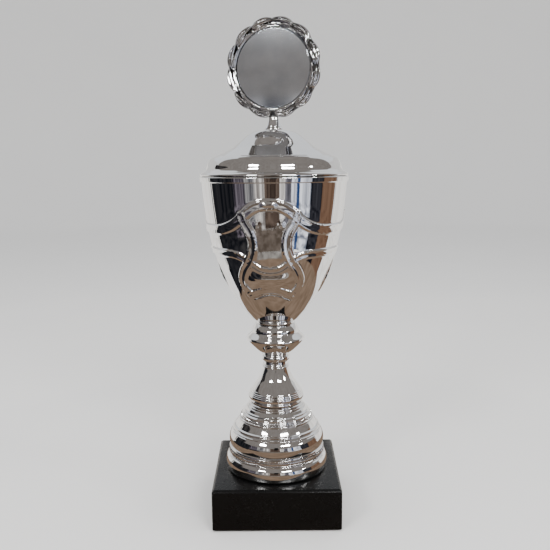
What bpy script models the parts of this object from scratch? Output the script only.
"""Lidded cup trophy with a laurel wreath medallion, on a black stone plinth.

Every piece is a separate object, stacked on one threaded rod as the real trophy is.
Units are metres, +Z is up, the front faces -Y and the origin is the centre of the resting plane.
"""

import math

import bmesh
import bpy
from mathutils import Matrix, Vector

MM = 0.001
GAP = 0.3  # between faces that touch on the real trophy, in mm
FINE = 40  # sides of the large turned pieces
COARSE = 24  # sides of the small turned pieces

# Plinth and what it stands on, in mm
PLINTH_SIDE = 85.0
PAD_HEIGHT = 0.8
PAD_RADIUS = 6.0
PAD_INSET = 10.5
PLINTH_BOTTOM = PAD_HEIGHT + GAP
PLINTH_TOP = 28.7
PLINTH_CHAMFER = 1.5
COUNTERBORE_RADIUS = 11.0
COUNTERBORE_DEPTH = 9.0

# The rod, nuts and washers that clamp the stack, in mm
ROD_RADIUS = 3.0
ROD_HOLE = ROD_RADIUS + GAP
ROD_BOTTOM = 2.6
WASHER_RADIUS = 9.0
WASHER_THICKNESS = 1.2
NUT_ACROSS_FLATS = 10.0
NUT_HEIGHT = 5.0

# Levels of the stacked pieces, in mm
FOOT_BOTTOM = PLINTH_TOP + GAP
FOOT_TOP = 75.0
CONE_BOTTOM = FOOT_TOP + GAP
CONE_TOP = 103.9
COLLAR_BOTTOM = CONE_TOP + GAP
COLLAR_TOP = 109.3
KNOP_BOTTOM = COLLAR_TOP + GAP
KNOP_TOP = 130.8
CUP_BOTTOM = KNOP_TOP + GAP
CUP_TOP = 230.0
LID_BOTTOM = CUP_TOP + GAP
LID_TOP = 259.7
FINIAL_BOTTOM = LID_TOP + GAP

# Sheet metal of the cup and lid, in mm
CUP_WALL = 0.6
LIP_RADIUS = 49.1
LIP_HEIGHT = 3.5
CUP_MOUTH_RADIUS = 48.3
LID_WALL = 0.6
LID_RIM_RADIUS = 48.9
SKIRT_RADIUS = 46.4
SKIRT_WALL = 0.6
SKIRT_DEPTH = 7.0

# Wreath medallion, in mm
WREATH_CENTRE = 299.1
WREATH_TURN = math.radians(-18.0)
SPRAYS_PER_SIDE = 6
SPRAY_RADIUS = 32.6
NOTCH_RADIUS = 30.2
SPRAY_ROUNDNESS = 0.7
SPRAY_LEAN = 0.76  # below 1 moves each spray's widest point towards its stalk
WREATH_FRONT = -3.4
WREATH_BACK = 2.2
RECESS_RADIUS = 25.3
RECESS_MOUTH_RADIUS = 27.3
RECESS_FLOOR = 1.2
EMBLEM_RADIUS = 25.0
EMBLEM_THICKNESS = 1.0
TAPE_RADIUS = 22.0
TAPE_THICKNESS = 0.5
SCREW_RADIUS = 1.5
SCREW_HOLE = SCREW_RADIUS + GAP
SCREW_TOP = 265.0
SCREW_HEAD_RADIUS = 3.0
SCREW_HEAD_HEIGHT = 2.2
LID_WASHER_RADIUS = 5.0
LID_WASHER_THICKNESS = 1.0


def remove_everything():
    for existing in list(bpy.data.objects):
        bpy.data.objects.remove(existing)


def make_material(name, colour, roughness, metallic):
    material = bpy.data.materials.new(name)
    material.use_nodes = True
    shader = material.node_tree.nodes["Principled BSDF"]
    shader.inputs["Base Color"].default_value = (*colour, 1.0)
    shader.inputs["Roughness"].default_value = roughness
    shader.inputs["Metallic"].default_value = metallic
    return material


def add_object(name, mesh, material):
    made = bpy.data.objects.new(name, mesh)
    bpy.context.scene.collection.objects.link(made)
    if material is None:
        made.hide_render = True
        made.display_type = "WIRE"
    else:
        mesh.materials.append(material)
    return made


def smooth_through(points, steps):
    """Points on a Catmull-Rom curve through the given (radius, height) points."""
    padded = [points[0], *points, points[-1]]
    curve = []
    for i in range(1, len(padded) - 2):
        p0, p1, p2, p3 = (Vector(p) for p in padded[i - 1 : i + 3])
        for step in range(steps):
            t = step / steps
            curve.append(
                0.5
                * (
                    2 * p1
                    + (p2 - p0) * t
                    + (2 * p0 - 5 * p1 + 4 * p2 - p3) * t * t
                    + (3 * p1 - p0 - 3 * p2 + p3) * t**3
                )
            )
    curve.append(Vector(points[-1]))
    return [tuple(p) for p in curve]


def inner_side(outer, wall):
    """The (radius, height) curve one wall thickness inside an outer curve, in the same order."""
    inner = []
    for i, point in enumerate(outer):
        before = Vector(outer[max(i - 1, 0)])
        after = Vector(outer[min(i + 1, len(outer) - 1)])
        along = (after - before).normalized()
        inward = Vector((-along.y, along.x))
        inner.append(tuple(Vector(point) + inward * wall))
    return inner


def turned_mesh(name, profile, sides):
    """A solid turned about Z from (radius, height) points in mm. Points at radius 0 close on the axis."""
    work = bmesh.new()
    rim = [work.verts.new((radius * MM, 0, height * MM)) for radius, height in profile]
    edges = [work.edges.new(pair) for pair in zip(rim, rim[1:])]
    if profile[0][0] > 0:
        edges.append(work.edges.new((rim[-1], rim[0])))
    bmesh.ops.spin(
        work,
        geom=rim + edges,
        cent=(0, 0, 0),
        axis=(0, 0, 1),
        angle=math.tau,
        steps=sides,
        use_merge=True,
    )
    bmesh.ops.remove_doubles(work, verts=work.verts, dist=0.01 * MM)
    bmesh.ops.recalc_face_normals(work, faces=work.faces)
    mesh = bpy.data.meshes.new(name)
    work.to_mesh(mesh)
    work.free()
    mesh.shade_smooth()
    mesh.set_sharp_from_angle(angle=math.radians(35))
    return mesh


def turned(name, profile, material, sides=COARSE):
    return add_object(name, turned_mesh(name, profile, sides), material)


def washer(name, bottom, radius, thickness, hole, material):
    """A flat ring with its lower face at the height bottom."""
    top = bottom + thickness
    profile = [(hole, bottom), (radius, bottom), (radius, top), (hole, top)]
    return turned(name, profile, material)


def hexagon_nut(name, bottom, material):
    """A hexagon nut with chamfered corners and a plain bore that clears the rod."""
    across_corners = NUT_ACROSS_FLATS / math.cos(math.pi / 6)
    work = bmesh.new()
    bmesh.ops.create_cone(
        work,
        cap_ends=True,
        segments=6,
        radius1=across_corners / 2 * MM,
        radius2=across_corners / 2 * MM,
        depth=NUT_HEIGHT * MM,
    )
    flats = [e for e in work.edges if abs(e.verts[0].co.z - e.verts[1].co.z) < MM]
    bmesh.ops.bevel(work, geom=flats, offset=0.5 * MM, segments=1, affect="EDGES")
    bmesh.ops.translate(work, verts=work.verts, vec=(0, 0, (bottom + NUT_HEIGHT / 2) * MM))
    mesh = bpy.data.meshes.new(name)
    work.to_mesh(mesh)
    work.free()
    nut = add_object(name, mesh, material)
    bore = washer_hole(name + "_bore", bottom - 1, bottom + NUT_HEIGHT + 1, ROD_HOLE)
    apply_boolean(nut, bore, "DIFFERENCE")
    return nut


def washer_hole(name, bottom, top, radius):
    """A round cutter for a bore along Z."""
    return turned(name, [(0, bottom), (radius, bottom), (radius, top), (0, top)], None)


def apply_boolean(target, other, operation):
    """Adds a live Boolean modifier. The other object stays in the scene as a hidden cutter."""
    modifier = target.modifiers.new(operation.title(), "BOOLEAN")
    modifier.operation = operation
    modifier.object = other
    return modifier


def make_felt_pads(material):
    reach = PLINTH_SIDE / 2 - PAD_INSET
    corners = [(-reach, -reach), (reach, -reach), (reach, reach), (-reach, reach)]
    profile = [(0, 0), (PAD_RADIUS, 0), (PAD_RADIUS, PAD_HEIGHT), (0, PAD_HEIGHT)]
    mesh = turned_mesh("felt_pad", profile, COARSE)
    mesh.materials.append(material)
    for number, (x, y) in enumerate(corners, start=1):
        pad = bpy.data.objects.new(f"felt_pad_{number}", mesh)
        pad.location = (x * MM, y * MM, 0)
        bpy.context.scene.collection.objects.link(pad)


def make_plinth(material):
    """Square stone block with chamfered top edges, a through hole and a counterbore for the nut."""
    height = PLINTH_TOP - PLINTH_BOTTOM
    size = Matrix.Diagonal((PLINTH_SIDE * MM, PLINTH_SIDE * MM, height * MM, 1))
    place = Matrix.Translation((0, 0, (PLINTH_BOTTOM + height / 2) * MM))
    work = bmesh.new()
    bmesh.ops.create_cube(work, size=1, matrix=place @ size)
    middle = (PLINTH_BOTTOM + height / 2) * MM
    upper = [e for e in work.edges if all(v.co.z > middle for v in e.verts)]
    bmesh.ops.bevel(work, geom=upper, offset=PLINTH_CHAMFER * MM, segments=1, affect="EDGES")
    mesh = bpy.data.meshes.new("plinth")
    work.to_mesh(mesh)
    work.free()
    plinth = add_object("plinth", mesh, material)
    shoulder = PLINTH_BOTTOM + COUNTERBORE_DEPTH
    hole = [
        (0, PLINTH_BOTTOM - 2),
        (COUNTERBORE_RADIUS, PLINTH_BOTTOM - 2),
        (COUNTERBORE_RADIUS, shoulder),
        (ROD_HOLE, shoulder),
        (ROD_HOLE, PLINTH_TOP + 2),
        (0, PLINTH_TOP + 2),
    ]
    apply_boolean(plinth, turned("plinth_hole", hole, None), "DIFFERENCE")
    return plinth


def make_clamping_parts(material):
    """The rod with its lower nut and washer in the plinth, and its upper ones inside the cup."""
    washer_bottom = PLINTH_BOTTOM + COUNTERBORE_DEPTH - GAP - WASHER_THICKNESS
    cup_floor = CUP_BOTTOM + CUP_WALL
    upper_washer_bottom = cup_floor + GAP
    upper_nut_bottom = upper_washer_bottom + WASHER_THICKNESS + GAP
    rod_top = upper_nut_bottom + NUT_HEIGHT + 2.0
    tip = 0.6
    rod = [
        (0, ROD_BOTTOM),
        (ROD_RADIUS - tip, ROD_BOTTOM),
        (ROD_RADIUS, ROD_BOTTOM + tip),
        (ROD_RADIUS, rod_top - tip),
        (ROD_RADIUS - tip, rod_top),
        (0, rod_top),
    ]
    turned("threaded_rod", rod, material)
    washer("lower_washer", washer_bottom, WASHER_RADIUS, WASHER_THICKNESS, ROD_HOLE, material)
    hexagon_nut("lower_nut", washer_bottom - GAP - NUT_HEIGHT, material)
    washer("upper_washer", upper_washer_bottom, WASHER_RADIUS, WASHER_THICKNESS, ROD_HOLE, material)
    hexagon_nut("upper_nut", upper_nut_bottom, material)


def make_foot_bell(material):
    """Hollow moulded foot: a rounded flange, a rope ring, a dome and three small steps up to the top."""
    flange = [(35.0, FOOT_BOTTOM), (35.5, 32.0), (35.4, 35.5), (34.5, 38.3), (33.2, 39.4)]
    rope_ring = [(33.9, 40.4), (33.2, 41.6)]
    dome = smooth_through([(32.9, 42.4), (33.0, 45.0), (32.4, 49.4), (29.9, 57.0)], 2)
    steps = [(28.9, 57.8), (27.6, 61.2), (26.0, 62.4), (24.8, 65.6), (23.4, 66.8), (21.0, 71.6)]
    top = [(19.6, 73.0), (19.2, FOOT_TOP), (ROD_HOLE, FOOT_TOP)]
    cavity = [
        (ROD_HOLE, 72.0),
        (17.5, 72.0),
        (24.0, 63.0),
        (28.0, 56.5),
        (30.6, 50.0),
        (31.0, 43.0),
        (33.0, 35.0),
        (33.0, FOOT_BOTTOM),
    ]
    profile = flange + rope_ring + dome + steps + top + cavity
    return turned("foot_bell", profile, material, FINE)


def make_stem_cone(material):
    """Hollow bell-shaped riser with fine rings at its wide foot and one ring at its neck."""
    rings = [(17.4, CONE_BOTTOM), (17.9, 76.2), (18.2, 77.4), (18.9, 78.4), (19.2, 80.2)]
    flare = [(18.2, 82.6), (15.4, 87.0), (12.2, 92.0), (10.0, 97.0), (8.8, 100.0)]
    neck = [(9.1, 100.8), (8.6, 101.8), (8.2, CONE_TOP), (ROD_HOLE, CONE_TOP)]
    cavity = [(ROD_HOLE, 96.0), (7.6, 96.0), (10.8, 90.0), (14.5, 84.0), (16.8, 80.0), (15.8, CONE_BOTTOM)]
    return turned("stem_cone", rings + flare + neck + cavity, material)


def make_stem_collar(material):
    """Small rounded bead that spaces the knop from the riser."""
    bead = [(8.3, COLLAR_BOTTOM), (9.4, 105.6), (9.8, 106.8), (9.4, 108.0), (8.6, COLLAR_TOP)]
    return turned("stem_collar", [(ROD_HOLE, COLLAR_BOTTOM), *bead, (ROD_HOLE, COLLAR_TOP)], material)


def make_stem_knop(material):
    """Double-coned disc under the cup, with a rounded seat for the cup's floor."""
    lower = [(ROD_HOLE, KNOP_BOTTOM), (9.2, KNOP_BOTTOM), (12.6, 112.2), (16.0, 115.6), (18.4, 118.0)]
    edge = [(19.5, 119.4), (19.6, 120.4), (19.2, 121.4)]
    upper = [(17.3, 123.2), (15.8, 125.0), (15.0, 127.6), (13.6, KNOP_TOP - 0.6), (13.0, KNOP_TOP)]
    return turned("stem_knop", lower + edge + upper + [(ROD_HOLE, KNOP_TOP)], material)


def make_cup_bowl(material):
    """Pressed sheet bowl, open at the top, with a rolled lip and a flat floor with the rod's hole."""
    floor_edge = 11.0
    side = smooth_through(
        [
            (floor_edge, CUP_BOTTOM),
            (15.9, 134.7),
            (22.6, 142.6),
            (29.2, 153.1),
            (35.0, 165.6),
            (40.1, 179.2),
            (43.7, 192.7),
            (46.0, 207.5),
            (47.4, 219.0),
            (CUP_MOUTH_RADIUS, CUP_TOP - LIP_HEIGHT),
        ],
        2,
    )
    inner = inner_side(side, CUP_WALL)[1:]
    lip_inner = CUP_MOUTH_RADIUS - CUP_WALL
    lip_foot = CUP_TOP - LIP_HEIGHT
    outside = [(ROD_HOLE, CUP_BOTTOM), *side, (LIP_RADIUS, lip_foot + 0.3), (LIP_RADIUS, CUP_TOP - 0.4)]
    lip_top = [(LIP_RADIUS - 0.4, CUP_TOP), (lip_inner, CUP_TOP)]
    floor = CUP_BOTTOM + CUP_WALL
    profile = outside + lip_top + inner[::-1] + [(floor_edge, floor), (ROD_HOLE, floor)]
    return turned("cup_bowl", profile, material, FINE)


def make_lid(material):
    """Spun lid: a small crown, a hollow slope, a stepped shoulder, a hemmed rim and a locating skirt."""
    crown = [(SCREW_HOLE, LID_TOP), (7.0, LID_TOP)]
    slope = smooth_through([(12.0, 259.1), (16.0, 257.5), (23.5, 251.4), (30.5, 246.8), (39.6, 242.4)], 2)
    shoulder = [(42.2, 240.6), (44.0, 237.6), (45.0, 235.0), (46.2, 233.0), (48.2, 231.8)]
    skin = crown + slope + shoulder
    rim = [(LID_RIM_RADIUS, 231.2), (LID_RIM_RADIUS, LID_BOTTOM), (SKIRT_RADIUS, LID_BOTTOM)]
    skirt_bottom = LID_BOTTOM - SKIRT_DEPTH
    skirt = [
        (SKIRT_RADIUS, skirt_bottom),
        (SKIRT_RADIUS - SKIRT_WALL, skirt_bottom),
        (SKIRT_RADIUS - SKIRT_WALL, 231.0),
        (44.8, 232.4),
    ]
    below = [(44.0, 234.8), (43.1, 237.2), (41.5, 239.8)]
    under_slope = [(r - 0.3, z - LID_WALL) for r, z in slope[::-1]]
    under_crown = [(7.0, LID_TOP - LID_WALL), (SCREW_HOLE, LID_TOP - LID_WALL)]
    profile = skin + rim + skirt + below + under_slope + under_crown
    return turned("lid", profile[::-1], material, FINE)


def wreath_outline(steps_per_spray):
    """Lobed outline of the wreath in the XZ plane. Its sprays of leaves climb both sides to the top."""
    side = []
    for step in range(SPRAYS_PER_SIDE * steps_per_spray + 1):
        sprays = step / steps_per_spray
        along = (sprays % 1) ** SPRAY_LEAN
        swell = math.sin(math.pi * along) ** SPRAY_ROUNDNESS
        radius = NOTCH_RADIUS + (SPRAY_RADIUS - NOTCH_RADIUS) * swell
        angle = math.pi * sprays / SPRAYS_PER_SIDE
        side.append((radius * math.sin(angle), WREATH_CENTRE - radius * math.cos(angle)))
    other_side = [(-x, z) for x, z in side[-2:0:-1]]
    return side + other_side


def facing_disc(name, radius, front, back, material):
    """A disc about the wreath's own axis, which runs along Y."""
    profile = [(0, 0), (radius, 0), (radius, back - front), (0, back - front)]
    mesh = turned_mesh(name, profile, FINE)
    lay_down = Matrix.Translation((0, back * MM, WREATH_CENTRE * MM)) @ Matrix.Rotation(math.pi / 2, 4, "X")
    mesh.transform(lay_down)
    return add_object(name, mesh, material)


def make_wreath_holder(material):
    """Moulded laurel wreath with a recess for the emblem, a back plate, and a short neck with a foot."""
    work = bmesh.new()
    loop = [work.verts.new((x * MM, WREATH_FRONT * MM, z * MM)) for x, z in wreath_outline(6)]
    front = work.faces.new(loop)
    grown = bmesh.ops.extrude_face_region(work, geom=[front])
    moved = [part for part in grown["geom"] if isinstance(part, bmesh.types.BMVert)]
    bmesh.ops.translate(work, verts=moved, vec=(0, (WREATH_BACK - WREATH_FRONT) * MM, 0))
    bmesh.ops.recalc_face_normals(work, faces=work.faces)
    mesh = bpy.data.meshes.new("wreath_holder")
    work.to_mesh(mesh)
    work.free()
    holder = add_object("wreath_holder", mesh, material)

    neck_profile = [
        (0, FINIAL_BOTTOM),
        (6.3, FINIAL_BOTTOM),
        (6.3, FINIAL_BOTTOM + 1.0),
        (4.6, 262.6),
        (3.6, 264.6),
        (2.9, 267.2),
        (2.6, 271.0),
        (0, 271.0),
    ]
    neck = turned("wreath_neck", neck_profile, None)
    neck_hole = washer_hole("wreath_neck_hole", FINIAL_BOTTOM - 2, SCREW_TOP + 1.0, SCREW_HOLE)
    depth = RECESS_FLOOR - WREATH_FRONT
    slant = RECESS_MOUTH_RADIUS - RECESS_RADIUS
    recess_profile = [
        (0, 0),
        (RECESS_RADIUS, 0),
        (RECESS_RADIUS, depth - slant),
        (RECESS_MOUTH_RADIUS, depth),
        (RECESS_MOUTH_RADIUS, depth + 2),
        (0, depth + 2),
    ]
    recess_mesh = turned_mesh("wreath_recess", recess_profile, FINE)
    lay_down = Matrix.Rotation(math.pi / 2, 4, "X")
    recess_mesh.transform(Matrix.Translation((0, RECESS_FLOOR * MM, WREATH_CENTRE * MM)) @ lay_down)
    recess = add_object("wreath_recess", recess_mesh, None)
    apply_boolean(holder, neck, "UNION")
    apply_boolean(holder, recess, "DIFFERENCE")
    apply_boolean(holder, neck_hole, "DIFFERENCE")
    return [holder, neck, recess, neck_hole]


def make_emblem(disc_material, tape_material):
    tape_back = RECESS_FLOOR - GAP
    disc_back = tape_back - TAPE_THICKNESS - GAP
    tape = facing_disc("emblem_tape", TAPE_RADIUS, tape_back - TAPE_THICKNESS, tape_back, tape_material)
    disc = facing_disc("emblem_disc", EMBLEM_RADIUS, disc_back - EMBLEM_THICKNESS, disc_back, disc_material)
    return [tape, disc]


def make_lid_fixing(material):
    """The screw and washer under the lid that hold the wreath's neck."""
    washer_bottom = LID_TOP - LID_WALL - GAP - LID_WASHER_THICKNESS
    washer("lid_washer", washer_bottom, LID_WASHER_RADIUS, LID_WASHER_THICKNESS, SCREW_HOLE, material)
    head_top = washer_bottom - GAP
    head_bottom = head_top - SCREW_HEAD_HEIGHT
    screw = [
        (0, head_bottom),
        (SCREW_HEAD_RADIUS - 0.8, head_bottom),
        (SCREW_HEAD_RADIUS, head_bottom + 1.0),
        (SCREW_HEAD_RADIUS, head_top),
        (SCREW_RADIUS, head_top),
        (SCREW_RADIUS, SCREW_TOP - 0.5),
        (SCREW_RADIUS - 0.5, SCREW_TOP),
        (0, SCREW_TOP),
    ]
    turned("lid_screw", screw, material, 24)


def main():
    remove_everything()
    black_stone = make_material("black_stone", (0.012, 0.012, 0.013), 0.12, 0.0)
    metallised = make_material("chromed_plastic", (0.82, 0.82, 0.83), 0.05, 1.0)
    chrome = make_material("chromed_sheet", (0.84, 0.84, 0.85), 0.04, 1.0)
    steel = make_material("zinc_steel", (0.55, 0.56, 0.58), 0.35, 1.0)
    satin = make_material("satin_aluminium", (0.55, 0.57, 0.58), 0.35, 1.0)
    felt = make_material("felt", (0.02, 0.02, 0.02), 0.95, 0.0)
    foam = make_material("foam_tape", (0.85, 0.85, 0.82), 0.9, 0.0)

    make_felt_pads(felt)
    make_plinth(black_stone)
    make_clamping_parts(steel)
    make_foot_bell(metallised)
    make_stem_cone(metallised)
    make_stem_collar(metallised)
    make_stem_knop(metallised)
    make_cup_bowl(chrome)
    make_lid(chrome)
    make_lid_fixing(steel)

    turntable = bpy.data.objects.new("wreath_axis", None)
    bpy.context.scene.collection.objects.link(turntable)
    for piece in make_wreath_holder(metallised) + make_emblem(satin, foam):
        piece.parent = turntable
    turntable.rotation_euler.z = WREATH_TURN


main()
